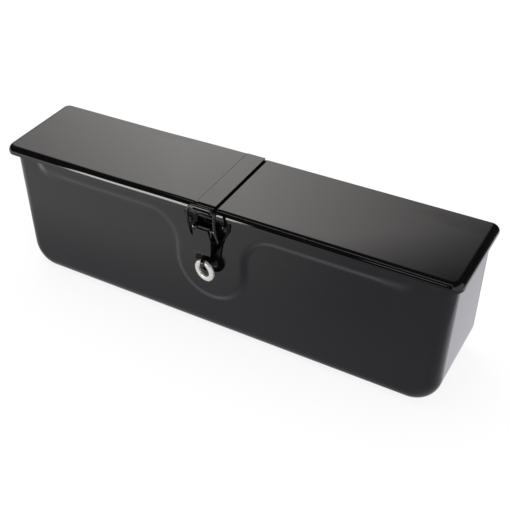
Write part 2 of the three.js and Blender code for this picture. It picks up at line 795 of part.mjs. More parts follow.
addPart(toolBox, 'tub', buildTub(), paint);
addPart(toolBox, 'back_plate', buildBackPlate(), paint);
addPart(toolBox, 'right_lid', lidHalf(lapLeft + runningGap), paint);
addPart(toolBox, 'left_lid', buildLeftLid(), paint);
addPart(toolBox, 'keeper', buildKeeper(), paint);

const sideNames = { '-1': 'left', 1: 'right' };
hingePlaces.forEach(({ side, x }, i) => {
  const name = `${sideNames[side]}_hinge_${(i % 2) + 1}`;
  addPart(toolBox, `${name}_box_leaf`, buildBoxLeaf(x), paint);
  addPart(toolBox, `${name}_lid_leaf`, buildLidLeaf(x), paint);
  addPart(toolBox, `${name}_pin`, buildHingePin(x), steel);
});

rivetPlaces.forEach((x, i) => {
  const rivet = addPart(toolBox, `hinge_rivet_${i + 1}`, rivetProfile(backSheet + boxLeafThickness), paint);
  rivet.rotation.x = -Math.PI / 2;
  rivet.position.set(x, backFace + boxLeafThickness, hingeAxisZ - hingeRivetDrop);
});

addPart(latch, 'latch_base', buildLatchBase(), paint);
addPart(latch, 'lever', buildLever(), paint);
addPart(latch, 'lever_pin', buildLeverPin(), paint);
addPart(latch, 'bail', buildBail(), paint);
addPart(toolBox, 'pull_ring', buildRing(), plated);

[-1, 1].forEach((side, i) => {
  const grip = baseThickness + sheet + 2 * seatGap;
  const rivet = addPart(latch, `base_rivet_${i + 1}`, rivetProfile(grip), paint);
  rivet.position.set((side * baseRivetSpacing) / 2, -baseRivetDrop, baseFace);
});

export default toolBox;
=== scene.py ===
import math
import bmesh
import bpy
import numpy as np
from mathutils import Matrix, Vector


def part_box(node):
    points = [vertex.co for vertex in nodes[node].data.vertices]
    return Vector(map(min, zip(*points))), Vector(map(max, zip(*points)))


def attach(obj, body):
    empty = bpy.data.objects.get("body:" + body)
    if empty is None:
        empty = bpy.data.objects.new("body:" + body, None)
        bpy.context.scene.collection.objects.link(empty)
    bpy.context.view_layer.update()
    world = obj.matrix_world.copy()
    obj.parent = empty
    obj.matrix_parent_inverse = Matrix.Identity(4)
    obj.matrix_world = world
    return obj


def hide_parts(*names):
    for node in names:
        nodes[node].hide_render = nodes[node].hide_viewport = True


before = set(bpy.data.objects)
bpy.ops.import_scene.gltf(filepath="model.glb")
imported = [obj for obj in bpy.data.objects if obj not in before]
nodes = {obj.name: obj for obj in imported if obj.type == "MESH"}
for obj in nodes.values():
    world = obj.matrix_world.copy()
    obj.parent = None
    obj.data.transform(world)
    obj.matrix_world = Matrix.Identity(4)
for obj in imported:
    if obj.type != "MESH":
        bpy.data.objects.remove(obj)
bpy.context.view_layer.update()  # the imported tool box, in metres, +Z up, the front faces -Y
mm = 0.001  # the shapes below are worked out in millimetres


# The camera stands in front, to the right and above, as in the photograph
cameraSet = {
    "place": (384.7, -570.3, 604.1),   # millimetres; the angles are in degrees
    "azimuth": 32.28,
    "elevation": 38.44,
    "roll": -3.12,
    "focalPixels": 894.1,
    "imagePixels": 510,
}


def makeCamera(s):
    turn, tilt, roll = (math.radians(s[k]) for k in ("azimuth", "elevation", "roll"))
    back = Vector((
        math.sin(turn) * math.cos(tilt), -math.cos(turn) * math.cos(tilt), math.sin(tilt)))
    level = (-back).cross(Vector((0, 0, 1))).normalized()
    upright = level.cross(-back)
    right = math.cos(roll) * level + math.sin(roll) * upright
    up = -math.sin(roll) * level + math.cos(roll) * upright
    data = bpy.data.cameras.new("camera")
    data.lens = data.sensor_width * s["focalPixels"] / s["imagePixels"]
    data.clip_start = 0.01
    camera = bpy.data.objects.new("camera", data)
    placed = Matrix((right, up, back)).transposed().to_4x4()
    placed.translation = Vector(s["place"]) * mm
    camera.matrix_world = placed
    bpy.context.scene.collection.objects.link(camera)
    bpy.context.scene.camera = camera


makeCamera(cameraSet)
print("camera placed")


# Meshes

def ease(t):
    # from 0 to 1 with level ends, also in curvature
    t = np.clip(t, 0, 1)
    return t * t * t * (t * (6 * t - 15) + 10)


def gridFaces(rows, columns, closedRows, closedColumns):
    # quads of a grid as whole arrays: each one joins a point, the next column and the next row
    r = np.arange(rows if closedRows else rows - 1)
    c = np.arange(columns if closedColumns else columns - 1)
    r, c = np.meshgrid(r, c, indexing="ij")
    rNext, cNext = (r + 1) % rows, (c + 1) % columns
    quads = [r * columns + c, r * columns + cNext, rNext * columns + cNext, rNext * columns + c]
    return np.stack(quads, -1).reshape(-1, 4)


def surface(name, points, closedRows=False, closedColumns=False, flip=False):
    # points is (rows, columns, 3) in millimetres; poles and seams are merged afterwards
    join = 0.02
    rows, columns = points.shape[:2]
    faces = gridFaces(rows, columns, closedRows, closedColumns)
    if flip:
        faces = faces[:, ::-1]
    mesh = bpy.data.meshes.new(name)
    mesh.vertices.add(rows * columns)
    mesh.vertices.foreach_set("co", (points * mm).astype(np.float32).ravel())
    mesh.loops.add(faces.size)
    mesh.loops.foreach_set("vertex_index", faces.astype(np.int32).ravel())
    mesh.polygons.add(len(faces))
    mesh.polygons.foreach_set("loop_start", np.arange(0, faces.size, 4, dtype=np.int32))
    mesh.polygons.foreach_set("loop_total", np.full(len(faces), 4, np.int32))
    mesh.update(calc_edges=True)
    shape = bmesh.new()
    shape.from_mesh(mesh)
    bmesh.ops.remove_doubles(shape, verts=shape.verts, dist=join * mm)
    bmesh.ops.dissolve_degenerate(shape, edges=shape.edges, dist=join * mm / 10)
    for face in shape.faces:
        face.smooth = True
    shape.to_mesh(mesh)
    shape.free()
    piece = bpy.data.objects.new(name, mesh)
    bpy.context.scene.collection.objects.link(piece)
    return piece


edgeSet = {
    "rimWidth": 0.25,    # of the round along a sheared edge
    "rimAngle": 55.0,
    "foldAngle": 30.0,   # edges sharper than this are broken on the folded pieces
    "segments": 2,
    "flatAngle": 0.5,    # faces closer than this to one plane are joined
    "join": 0.001,
}


def addModifier(piece, kind, **values):
    modifier = piece.modifiers.new(kind.lower(), kind)
    for key, value in values.items():
        setattr(modifier, key, value)


def breakEdges(piece, width, angle, **values):
    addModifier(piece, "BEVEL", width=width * mm, segments=edgeSet["segments"],
                limit_method="ANGLE", angle_limit=math.radians(angle),
                use_clamp_overlap=True, **values)


def breakRims(piece):
    # a small round along the sheared edges of a sheet
    breakEdges(piece, edgeSet["rimWidth"], edgeSet["rimAngle"], harden_normals=True)


def finishPiece(piece, body, replaced, material):
    piece.data.materials.clear()
    piece.data.materials.append(material)
    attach(piece, body)
    if replaced:
        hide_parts(*replaced)


def softenedCopy(node, width):
    # a merged copy of a folded node with its flat faces joined and its edges broken; the large
    # faces keep their own normals, so that the flats stay flat in the gloss
    mesh = nodes[node].data.copy()
    shape = bmesh.new()
    shape.from_mesh(mesh)
    bmesh.ops.remove_doubles(shape, verts=shape.verts, dist=edgeSet["join"] * mm)
    bmesh.ops.dissolve_limit(shape, angle_limit=math.radians(edgeSet["flatAngle"]),
                             verts=shape.verts, edges=shape.edges)
    for face in shape.faces:
        face.smooth = True
    shape.to_mesh(mesh)
    shape.free()
    piece = bpy.data.objects.new(node + "_finished", mesh)
    bpy.context.scene.collection.objects.link(piece)
    breakEdges(piece, width, edgeSet["foldAngle"])
    addModifier(piece, "WEIGHTED_NORMAL", mode="FACE_AREA", weight=100, thresh=0.0)
    return piece


# Node groups that more than one material uses

def newGroup(name, inputs, outputs):
    group = bpy.data.node_groups.new(name, "ShaderNodeTree")
    for label, kind, value in inputs:
        socket = group.interface.new_socket(name=label, in_out="INPUT", socket_type=kind)
        if value is not None:
            socket.default_value = value
    for label, kind in outputs:
        group.interface.new_socket(name=label, in_out="OUTPUT", socket_type=kind)
    return group, group.nodes.new("NodeGroupInput"), group.nodes.new("NodeGroupOutput")


def mathNode(tree, operation, first, second, clamp=False):
    node = tree.nodes.new("ShaderNodeMath")
    node.operation = operation
    node.use_clamp = clamp
    for socket, value in zip(node.inputs, (first, second)):
        if isinstance(value, bpy.types.NodeSocket):
            tree.links.new(value, socket)
        else:
            socket.default_value = value
    return node.outputs[0]


def noiseNode(tree, vector, scale, detail, roughness=0.5):
    node = tree.nodes.new("ShaderNodeTexNoise")
    node.inputs["Detail"].default_value = detail
    node.inputs["Roughness"].default_value = roughness
    if isinstance(scale, bpy.types.NodeSocket):
        tree.links.new(scale, node.inputs["Scale"])
    else:
        node.inputs["Scale"].default_value = scale
    tree.links.new(vector, node.inputs["Vector"])
    return node.outputs["Fac"]


# Sprayed enamel: fine orange peel over a slow waviness, as a height
def makeEnamelSkin():
    group, given, result = newGroup(
        "enamelSkin",
        [("Vector", "NodeSocketVector", None), ("Peel Size", "NodeSocketFloat", 900.0),
         ("Wave Size", "NodeSocketFloat", 14.0), ("Wave Share", "NodeSocketFloat", 0.6)],
        [("Height", "NodeSocketFloat")])
    peel = noiseNode(group, given.outputs["Vector"], given.outputs["Peel Size"], 2.0)
    wave = noiseNode(group, given.outputs["Vector"], given.outputs["Wave Size"], 1.0)
    waves = mathNode(group, "MULTIPLY", wave, given.outputs["Wave Share"])
    group.links.new(mathNode(group, "ADD", peel, waves), result.inputs["Height"])
    return group


# Handling film: broad, faint patches that dull the gloss and lift the black a little, and streaks
# of dull specks along the box
filmSet = {
    "broadSize": 9.0,
    "fineSize": 160.0,
    "patchGain": 2.2,
    "patchStart": -0.28,
    "streakStretch": (7.0, 45.0, 45.0),
    "streakLevel": 0.55,
    "streakGain": 9.0,
    "speckSize": 700.0,
    "speckLevel": 0.5,
}


def makeHandlingFilm(s):
    group, given, result = newGroup(
        "handlingFilm",
        [("Vector", "NodeSocketVector", None), ("Clean", "NodeSocketFloat", 0.12),
         ("Dull", "NodeSocketFloat", 0.26), ("Paint", "NodeSocketColor", (0.01, 0.01, 0.01, 1)),
         ("Film", "NodeSocketColor", (0.03, 0.03, 0.03, 1)), ("Rub", "NodeSocketFloat", 0.0)],
        [("Roughness", "NodeSocketFloat"), ("Color", "NodeSocketColor")])
    place = given.outputs["Vector"]
    broad = noiseNode(group, place, s["broadSize"], 3.0, 0.6)
    fine = noiseNode(group, place, s["fineSize"], 4.0, 0.7)
    patch = mathNode(group, "MULTIPLY", broad, fine)
    share = mathNode(group, "MULTIPLY_ADD", patch, s["patchGain"], clamp=True)
    share.node.inputs[2].default_value = s["patchStart"]
    span = mathNode(group, "SUBTRACT", given.outputs["Dull"], given.outputs["Clean"])
    lift = mathNode(group, "MULTIPLY", span, share)
    gloss = mathNode(group, "ADD", given.outputs["Clean"], lift)
    stretch = group.nodes.new("ShaderNodeVectorMath")
    stretch.operation = "MULTIPLY"
    stretch.inputs[1].default_value = s["streakStretch"]
    group.links.new(place, stretch.inputs[0])
    streak = noiseNode(group, stretch.outputs[0], 1.0, 3.0, 0.6)
    streak = mathNode(group, "SUBTRACT", streak, s["streakLevel"])
    streak = mathNode(group, "MULTIPLY", streak, s["streakGain"], clamp=True)
    specks = noiseNode(group, place, s["speckSize"], 3.0)
    specks = mathNode(group, "GREATER_THAN", specks, s["speckLevel"])
    rub = mathNode(group, "MULTIPLY", streak, specks)
    rub = mathNode(group, "MULTIPLY", rub, given.outputs["Rub"])
    group.links.new(mathNode(group, "ADD", gloss, rub), result.inputs["Roughness"])
    mix = group.nodes.new("ShaderNodeMix")
    mix.data_type = "RGBA"
    group.links.new(share, mix.inputs["Factor"])
    group.links.new(given.outputs["Paint"], mix.inputs[6])
    group.links.new(given.outputs["Film"], mix.inputs[7])
    group.links.new(mix.outputs[2], result.inputs["Color"])
    return group


# Fine turning or drawing marks, as a height of fine noise that has no one direction
def makeDrawnMarks():
    group, given, result = newGroup(
        "drawnMarks",
        [("Vector", "NodeSocketVector", None), ("Scale", "NodeSocketFloat", 400.0)],
        [("Height", "NodeSocketFloat")])
    grain = noiseNode(group, given.outputs["Vector"], given.outputs["Scale"], 3.0, 0.7)
    group.links.new(grain, result.inputs["Height"])
    return group


enamelSkin = makeEnamelSkin()
handlingFilm = makeHandlingFilm(filmSet)
drawnMarks = makeDrawnMarks()


def newMaterial(name):
    material = bpy.data.materials.new(name)
    material.use_nodes = True
    tree = material.node_tree
    place = tree.nodes.new("ShaderNodeTexCoord").outputs["Object"]
    return material, tree, tree.nodes["Principled BSDF"], place


def useGroup(tree, group, vector, **values):
    node = tree.nodes.new("ShaderNodeGroup")
    node.node_tree = group
    tree.links.new(vector, node.inputs["Vector"])
    for key, value in values.items():
        node.inputs[key].default_value = value
    return node


def bump(tree, height, shader, strength, distance):
    node = tree.nodes.new("ShaderNodeBump")
    node.inputs["Strength"].default_value = strength
    node.inputs["Distance"].default_value = distance * mm
    tree.links.new(height, node.inputs["Height"])
    tree.links.new(node.outputs["Normal"], shader.inputs["Normal"])


enamelSet = {
    "paint": (0.0015, 0.0015, 0.0016, 1),
    "film": (0.004, 0.004, 0.004, 1),
    "clean": 0.025,
    "dull": 0.05,
    "ior": 1.47,
    "peelStrength": 0.04,
    "peelHeight": 0.2,
    "rub": 0.14,
}
# the latch is sprayed less evenly, and its bracket thin and dry
latchSheen = {"clean": 0.05, "dull": 0.12, "peelStrength": 0.06}
bracketSheen = {"clean": 0.12, "dull": 0.25, "ior": 1.2, "peelStrength": 0.06}


def makeEnamel(name, s):
    material, tree, shader, place = newMaterial(name)
    film = useGroup(tree, handlingFilm, place, Clean=s["clean"], Dull=s["dull"],
                    Paint=s["paint"], Film=s["film"], Rub=s["rub"])
    tree.links.new(film.outputs["Color"], shader.inputs["Base Color"])
    tree.links.new(film.outputs["Roughness"], shader.inputs["Roughness"])
    shader.inputs["IOR"].default_value = s["ior"]
    skin = useGroup(tree, enamelSkin, place)
    bump(tree, skin.outputs["Height"], shader, s["peelStrength"], s["peelHeight"])
    return material


platingSet = {
    "color": (0.74, 0.71, 0.67, 1),
    "film": (0.62, 0.60, 0.56, 1),
    "clean": 0.34,
    "dull": 0.5,
    "metal": 0.6,
    "marks": 700.0,
    "markStrength": 0.12,
    "markHeight": 0.05,
}

pinSet = {
    "color": (0.33, 0.33, 0.32, 1),
    "film": (0.2, 0.19, 0.18, 1),
    "clean": 0.3,
    "dull": 0.5,
    "metal": 1.0,
    "marks": 900.0,
    "markStrength": 0.2,
    "markHeight": 0.05,
}


def makeDrawnMetal(name, s):
    material, tree, shader, place = newMaterial(name)
    film = useGroup(tree, handlingFilm, place, Clean=s["clean"], Dull=s["dull"],
                    Paint=s["color"], Film=s["film"])
    tree.links.new(film.outputs["Color"], shader.inputs["Base Color"])
    tree.links.new(film.outputs["Roughness"], shader.inputs["Roughness"])
    shader.inputs["Metallic"].default_value = s["metal"]
    marks = useGroup(tree, drawnMarks, place, Scale=s["marks"])
    bump(tree, marks.outputs["Height"], shader, s["markStrength"], s["markHeight"])
    return material


enamel = makeEnamel("blackEnamel", enamelSet)
latchEnamel = makeEnamel("latchEnamel", {**enamelSet, **latchSheen})
bracketBlack = makeEnamel("bracketBlack", {**enamelSet, **bracketSheen})
plating = makeDrawnMetal("plating", platingSet)
pinSteel = makeDrawnMetal("pinSteel", pinSet)
print("materials made")


# Tub: one pressed pan with the panel raised out of its front

tubSet = {
    "rimHalf": 235.0,
    "floorHalf": 229.5,
    "height": 140.0,
    "back": 46.6,
    "frontTop": -36.8,
    "frontBottom": -47.8,
    "cornerRadius": 28.0,
    "frontRadius": 14.0,
    "sheet": 1.2,
    "flange": 10.0,
    "flangeBend": 0.6,
    "columns": (46, 16, 250),   # up a side, round a corner, along the floor
    "frontRows": 92,
}

panelSet = {
    "centre": 2.0,       # of the lobe, across the box
    "rise": 3.0,
    "slope": 9.5,
    "endSlope": 7.0,     # more at the band's ends, taken up from endReach on over endRun
    "endReach": 45.0,
    "endRun": 40.0,
    "leftEnd": -198.0,
    "rightEnd": 198.0,
    "top": 2.0,          # heights are counted down the wall from the rim
    "bottom": 17.0,
    "cornerRadius": 11.0,
    "lobeHalf": 36.5,
    "lobeCentre": 61.0,
    "filletRadius": 31.0,
}


def panelHeight(x, down, s):
    # a signed distance to the outline of band and lobe, joined by a round fillet, eased over
    # the slope
    reach = s["cornerRadius"]
    middle = (s["leftEnd"] + s["rightEnd"]) / 2
    half = (s["rightEnd"] - s["leftEnd"]) / 2
    sideways = np.abs(x - middle) - half + reach
    below = down - s["bottom"] + reach
    band = np.hypot(np.maximum(sideways, 0), np.maximum(below, 0)) - reach
    band = band + np.minimum(np.maximum(sideways, below), 0)
    lobe = np.hypot(x - s["centre"], np.maximum(down - s["lobeCentre"], 0)) - s["lobeHalf"]
    r = s["filletRadius"]
    fillet = np.hypot(np.maximum(r - band, 0), np.maximum(r - lobe, 0))
    joined = np.maximum(r, np.minimum(band, lobe)) - fillet
    outline = np.where((band < r) & (lobe < r), joined, np.minimum(band, lobe))
    outline = np.maximum(outline, s["top"] - down)
    towardsEnd = ease((np.abs(x - middle) - half + s["endReach"]) / s["endRun"])
    slope = s["slope"] + s["endSlope"] * towardsEnd
    return s["rise"] * ease(0.5 - outline / slope)


def tubOutline(inset, s):
    # U-shaped: down the left side, round the corner, along the floor, and the same mirrored
    side, corner, floor = s["columns"]
    length = math.hypot(s["rimHalf"] - s["floorHalf"], s["height"])
    nx, nz = s["height"] / length, (s["rimHalf"] - s["floorHalf"]) / length
    r = s["cornerRadius"]
    cx = -s["rimHalf"] + (r + (s["height"] - r) * nz) / nx
    rim = np.array([-s["rimHalf"] + inset / nx, s["height"]])
    start = math.atan2(-nz, -nx) % (2 * math.pi)
    angle = np.linspace(start, 1.5 * math.pi, corner + 1)
    arc = np.stack([cx + (r - inset) * np.cos(angle), r + (r - inset) * np.sin(angle)], -1)
    down = rim + (arc[0] - rim) * np.linspace(0, 1, side + 1)[:, None]
    left = np.concatenate([down[:-1], arc])
    along = np.linspace(arc[-1, 0], -arc[-1, 0], floor + 1)
    floorLine = np.stack([along, np.full(floor + 1, inset)], -1)
    right = left[::-1] * np.array([-1, 1])
    return np.concatenate([left[:-1], floorLine, right[1:]])


def tubPoints(s):
    # the outline is carried from the rear flange forward along the walls, in round the front
    # edge, and across the front, which is set out by the panel's height
    slope = (s["frontTop"] - s["frontBottom"]) / s["height"]
    lean = math.atan(slope)

    def frontAt(z):
        return s["frontBottom"] + z * slope

    rows = []
    bend, r = s["flangeBend"], s["frontRadius"]
    flat = tubOutline(s["flange"], s)
    rows.append(np.column_stack([flat[:, 0], np.full(len(flat), s["back"]), flat[:, 1]]))
    for a in np.linspace(0, math.pi / 2, 5):   # the turned-in rear flange's bend
        o = tubOutline(bend * (1 - math.sin(a)), s)
        y = np.full(len(o), s["back"] - bend * (1 - math.cos(a)))
        rows.append(np.column_stack([o[:, 0], y, o[:, 1]]))
    o = tubOutline(0, s)
    for share in (0.01, 0.33, 0.66, 0.99):     # the rows next to a bend keep the wall flat
        y = (1 - share) * (s["back"] - bend) + share * (frontAt(o[:, 1]) + r)
        rows.append(np.column_stack([o[:, 0], y, o[:, 1]]))
    for a in np.linspace(math.pi / 2, 0, 11):  # the round between the walls and the front
        o = tubOutline(r * (1 - math.sin(a)), s)
        y = frontAt(o[:, 1]) + r * (1 - math.cos(a))
        rows.append(np.column_stack([o[:, 0], y, o[:, 1]]))
    edge = tubOutline(r, s)
    side, corner, floor = s["columns"]
    ends = side + corner
    top = edge[:, 0].copy()
    top[:ends + 1] = np.linspace(edge[0, 0], edge[ends, 0], ends + 1)
    top[-ends - 1:] = -top[:ends + 1][::-1]
    for t in np.linspace(0, 1, s["frontRows"] + 1)[1:]:
        x = (1 - t) * edge[:, 0] + t * top
        z = (1 - t) * edge[:, 1] + t * s["height"]
        rise = panelHeight(x, (s["height"] - z) / math.cos(lean), panelSet)
        y = frontAt(z) - rise * math.cos(lean)
        rows.append(np.column_stack([x, y, z + rise * math.sin(lean)]))
    return np.array(rows)


tub = surface("tub_shell", tubPoints(tubSet))
addModifier(tub, "SOLIDIFY", thickness=tubSet["sheet"] * mm, offset=-1, use_even_offset=True)
breakRims(tub)
finishPiece(tub, "box", ["tub"], enamel)
print("tub made")


# Lid halves: pressed sheet, bent down in a quarter round along the front and the outer end

lidSet = {
    "outerHalf": 240.0,
    "front": -42.7,
    "rear": 52.6,
    "top": 142.7,
    "drop": 7.9,
    "bend": 6.2,
    "cornerRadius": 11.0,
    "sheet": 1.2,
    "poleX": 30.0,        # the fan of rows on the flat top meets here, at the rear edge
    "rightInner": -10.6,
    "lapLeft": -11.0,
    "lapRight": 9.0,
    "lapRaise": 1.6,
    "lapLift": 0.72,      # the share of the raise that the half takes up slowly, over the run
    "lapRun": 140.0,
    "joggle": 3.5,        # the run of the step at the lap's left
    "seat": 0.5,          # how far the right half dips where the lap covers it
    "seatEnd": 11.0,
    "seatRun": 3.0,
    "rearRadii": (1.5, 4.0),     # right, left
    "endColumns": (30, 16, 70),
    "lapColumns": 60,
    "bendRows": 12,
    "topRows": 14,
}


def joggleAt(x, s):
    return s["lapRaise"] * ease((-s["lapLeft"] - x) / s["joggle"] + 0.5)


def raiseAt(x, s, lapped):
    # the lap is set up, partly slowly over the run; the other half dips a little under it
    slow = s["lapRaise"] * ease((s["lapRun"] - x) / (s["lapRun"] + s["lapLeft"]))
    if lapped:
        return (1 - s["lapLift"]) * joggleAt(x, s) + s["lapLift"] * slow
    return -s["seat"] * ease((s["seatEnd"] - x) / s["seatRun"] + 0.5)


def lidPoints(s, inner, lapped):
    # columns run round the outline from the outer rear corner to the inner edge, rows from the
    # flange's edge over the bend and across the top; the lap is the same section set out by raise
    endCount, cornerCount, frontCount = s["endColumns"]
    R, x1, y0, y1 = s["cornerRadius"], s["outerHalf"], s["front"], s["rear"]
    rear = s["rearRadii"][int(lapped)]
    round_ = np.linspace(math.pi / 2, 0, 9)[:-1]
    down = np.linspace(y1 - rear, y0 + R, endCount, endpoint=False)
    end = np.concatenate([
        np.column_stack([x1 - rear + rear * np.cos(round_), y1 - rear + rear * np.sin(round_)]),
        np.column_stack([np.full(endCount, x1), down])])
    endIn = np.tile([-1.0, 0.0], (len(end), 1))
    angle = np.linspace(0, -math.pi / 2, cornerCount + 1)
    cornerIn = -np.column_stack([np.cos(angle), np.sin(angle)])
    corner = np.array([x1 - R, y0 + R]) - R * cornerIn
    front = np.column_stack([np.linspace(x1 - R, s["poleX"], frontCount + 1)[1:],
                             np.full(frontCount, y0)])
    lap = np.column_stack([np.linspace(s["poleX"], inner, s["lapColumns"] + 1)[1:],
                           np.full(s["lapColumns"], y0)])
    frontIn = np.tile([0.0, 1.0], (frontCount + s["lapColumns"], 1))
    base = np.concatenate([end, corner, front, lap])
    inward = np.concatenate([endIn, cornerIn, frontIn])
    goal = np.column_stack([np.full(len(base), s["poleX"]), np.full(len(base), y1)])
    goal[-s["lapColumns"]:, 0] = lap[:, 0]
    step = joggleAt(base[:, 0], s) * lapped
    rows = []
    b = s["bend"]

    def row(inset, z, across, upward):
        xy = base + inward * (inset - across * step)[:, None]
        rows.append(np.column_stack([xy, z + upward * raiseAt(base[:, 0], s, lapped)]))

    for z in (s["top"] - s["drop"], s["top"] - s["drop"] / 2 - b / 2):
        row(np.zeros(len(base)), np.full(len(base), z), 1.0, 0.0)
    for a in np.linspace(0, math.pi / 2, s["bendRows"] + 1):
        row(np.full(len(base), b * (1 - math.cos(a))),
            np.full(len(base), s["top"] - b * (1 - math.sin(a))), math.cos(a), math.sin(a))
    edge = base + inward * b
    for t in [0.005, *np.linspace(0, 1, s["topRows"] + 1)[1:]]:   # the first keeps the top flat
        xy = (1 - t) * edge + t * goal
        rows.append(np.column_stack([xy, s["top"] + raiseAt(xy[:, 0], s, lapped)]))
    return np.array(rows)


def makeLid(name, s, mirrored, inner, lapped, body, node):
    points = lidPoints(s, inner, lapped)
    if mirrored:
        points = points * np.array([-1, 1, 1])
    lid = surface(name, points, flip=not mirrored)
    addModifier(lid, "SOLIDIFY", thickness=s["sheet"] * mm, offset=-1, use_even_offset=True)
    breakRims(lid)
    finishPiece(lid, body, [node], enamel)


makeLid("right_lid_shell", lidSet, False, lidSet["rightInner"], False, "right_half", "right_lid")
makeLid("left_lid_shell", lidSet, True, -lidSet["lapRight"], True, "left_half", "left_lid")
print("lids made")


# Bail, ring and curl: sections carried along a line or swept across

latchSet = {
    "centre": 2.0,
    "bailWire": 1.58,            # half the wire's thickness
    "bailHalf": 14.25,
    "bailPivot": (28.0, 8.6),    # down from the rim, and out from the wall
    "bailBar": (-7.0, 13.0),     # the same for the bar, which lies above the rim
    "bailBow": 3.6,              # outward, in the middle of the legs
    "bailTopRadius": 6.0,
    "bailFootRadius": 3.0,
    "bailEnd": 8.0,
    "bailSides": 20,
    "ringRadius": 8.75,
    "ringWire": (2.6, 2.0),      # half width in the ring's plane, and across it
    "ringSquare": 0.6,           # 1 is a round section, and less is squarer
    "ringTurn": -10.0,
    "curlRadii": (3.5, 4.5),
    "curlSpan": (150.0, 335.0),  # from behind and above the ring, under it, to the lip in front
    "curlDrop": 1.7,             # the lip hangs lower than it is deep by this factor
    "curlWidth": 4.2,
    "curlGap": 0.2,
}


def onFront(x, up, out):
    # from the front wall's own frame at the rim to the box's frame
    lean = math.atan((tubSet["frontTop"] - tubSet["frontBottom"]) / tubSet["height"])
    y = tubSet["frontTop"] + up * math.sin(lean) - out * math.cos(lean)
    z = tubSet["height"] + up * math.cos(lean) + out * math.sin(lean)
    return np.stack([x + latchSet["centre"], y, z], -1)


def tubePoints(line, radius, sides):
    # a circle in the plane across the line at each of its points; one fixed way keeps it from
    # twisting
    before = np.concatenate([line[:1], line[:-1]])
    after = np.concatenate([line[1:], line[-1:]])
    along = after - before
    along /= np.linalg.norm(along, axis=1, keepdims=True)
    side = np.cross(along, np.array([0.0, -1.0, 0.08]))
    side /= np.linalg.norm(side, axis=1, keepdims=True)
    other = np.cross(side, along)
    angle = np.linspace(0, 2 * math.pi, sides, endpoint=False)
    angle = angle[None, :, None]
    circle = np.cos(angle) * side[:, None] + np.sin(angle) * other[:, None]
    return line[:, None] + radius * circle


def ringPoints(s, level):
    # a section with flattened sides carried round a circle that stands on the level direction
    around = np.linspace(0, 2 * math.pi, 96, endpoint=False)[:, None, None]
    section = np.linspace(0, 2 * math.pi, 24, endpoint=False)[None, :, None]
    outward = np.cos(around) * level + np.sin(around) * np.array([0, 0, 1.0])
    wide, deep = s["ringWire"]
    squared = [np.sign(wave) * np.abs(wave) ** s["ringSquare"]
               for wave in (np.cos(section), np.sin(section))]
    radius = s["ringRadius"] + wide * squared[0]
    return radius * outward + deep * squared[1] * np.cross(level, [0, 0, 1.0])


def bailLine(s):
    # half of the wire's centre line in the wall's plane: foot, leg, shoulder and bar, then the
    # same mirrored; it stands out from the wall in proportion to its height, plus a sine's bow
    low, high = -s["bailPivot"][0], -s["bailBar"][0]
    half, foot, top = s["bailHalf"], s["bailFootRadius"], s["bailTopRadius"]
    turn = np.linspace(0, math.pi / 2, 13)
    ends = np.column_stack([np.linspace(s["bailEnd"], half - foot, 6), np.full(6, low)])
    bottom = np.column_stack([half - foot + foot * np.sin(turn), low + foot - foot * np.cos(turn)])
    leg = np.column_stack([np.full(24, half), np.linspace(low + foot, high - top, 24)])
    shoulder = np.column_stack([half - top + top * np.cos(turn), high - top + top * np.sin(turn)])
    bar = np.column_stack([np.linspace(half - top, 0, 10), np.full(10, high)])
    right = np.concatenate([ends[:-1], bottom[:-1], leg[:-1], shoulder[:-1], bar])
    plan = np.concatenate([right, right[-2::-1] * np.array([-1, 1])])
    share = (plan[:, 1] - low) / (high - low)
    out = s["bailPivot"][1] + share * (s["bailBar"][1] - s["bailPivot"][1])
    out = out + s["bailBow"] * np.sin(math.pi * share)
    return onFront(plan[:, 0], plan[:, 1], out)


def makeBail(s):
    line = bailLine(s)
    tube = tubePoints(line, s["bailWire"], s["bailSides"])
    caps = [np.repeat(line[i][None, None], s["bailSides"], 1) for i in (0, -1)]
    bail = surface("bail_wire", np.concatenate([caps[0], tube, caps[1]]), closedColumns=True)
    finishPiece(bail, "latch_bail", ["bail"], latchEnamel)


def makeRing(s):
    low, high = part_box("pull_ring")
    centre = np.array((low + high) / 2) / mm
    turn = math.radians(s["ringTurn"])
    level = np.array([math.cos(turn), math.sin(turn), 0])
    ring = surface(
        "pull_ring_wire", centre + ringPoints(s, level), closedRows=True, closedColumns=True)
    finishPiece(ring, "ring", ["pull_ring"], plating)


def makeCurl(s):
    # the end of the lever's tongue is rolled round the ring: a section in y and z, swept along x
    low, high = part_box("pull_ring")
    centre = np.array([(low[0] + high[0]) / 2, (low[1] + high[1]) / 2, high[2]]) / mm
    centre[2] -= s["ringWire"][0] + s["curlGap"]
    inner, outer = s["curlRadii"]
    angle = np.radians(np.linspace(*s["curlSpan"], 40))
    arc = np.stack([np.cos(angle), np.sin(angle)], -1)
    arc[:, 1] *= np.where(arc[:, 1] < 0, s["curlDrop"], 1)
    loop = np.concatenate([outer * arc, inner * arc[::-1]])
    # the section closes to its middle line at both cut faces, whose edges are broken
    across = s["curlWidth"] * np.array([-0.5, -0.5, -0.42, 0.42, 0.5, 0.5])
    shrink = np.array([0.0, 0.94, 1.0, 1.0, 0.94, 0.0])
    middle = (inner + outer) / 2 * np.concatenate([arc, arc[::-1]])
    rows = []
    for x, share in zip(across, shrink):
        section = middle + share * (loop - middle)
        rows.append(np.column_stack([np.full(len(loop), x), -section[:, 0], section[:, 1]]))
    curl = surface("tongue_curl", centre + np.array(rows), closedColumns=True)
    finishPiece(curl, "latch_lever", [], bracketBlack)


makeBail(latchSet)
makeRing(latchSet)
makeCurl(latchSet)
print("bail, ring and curl made")


# Rivets: a domed head turned about its axis, sitting where the plain one sits

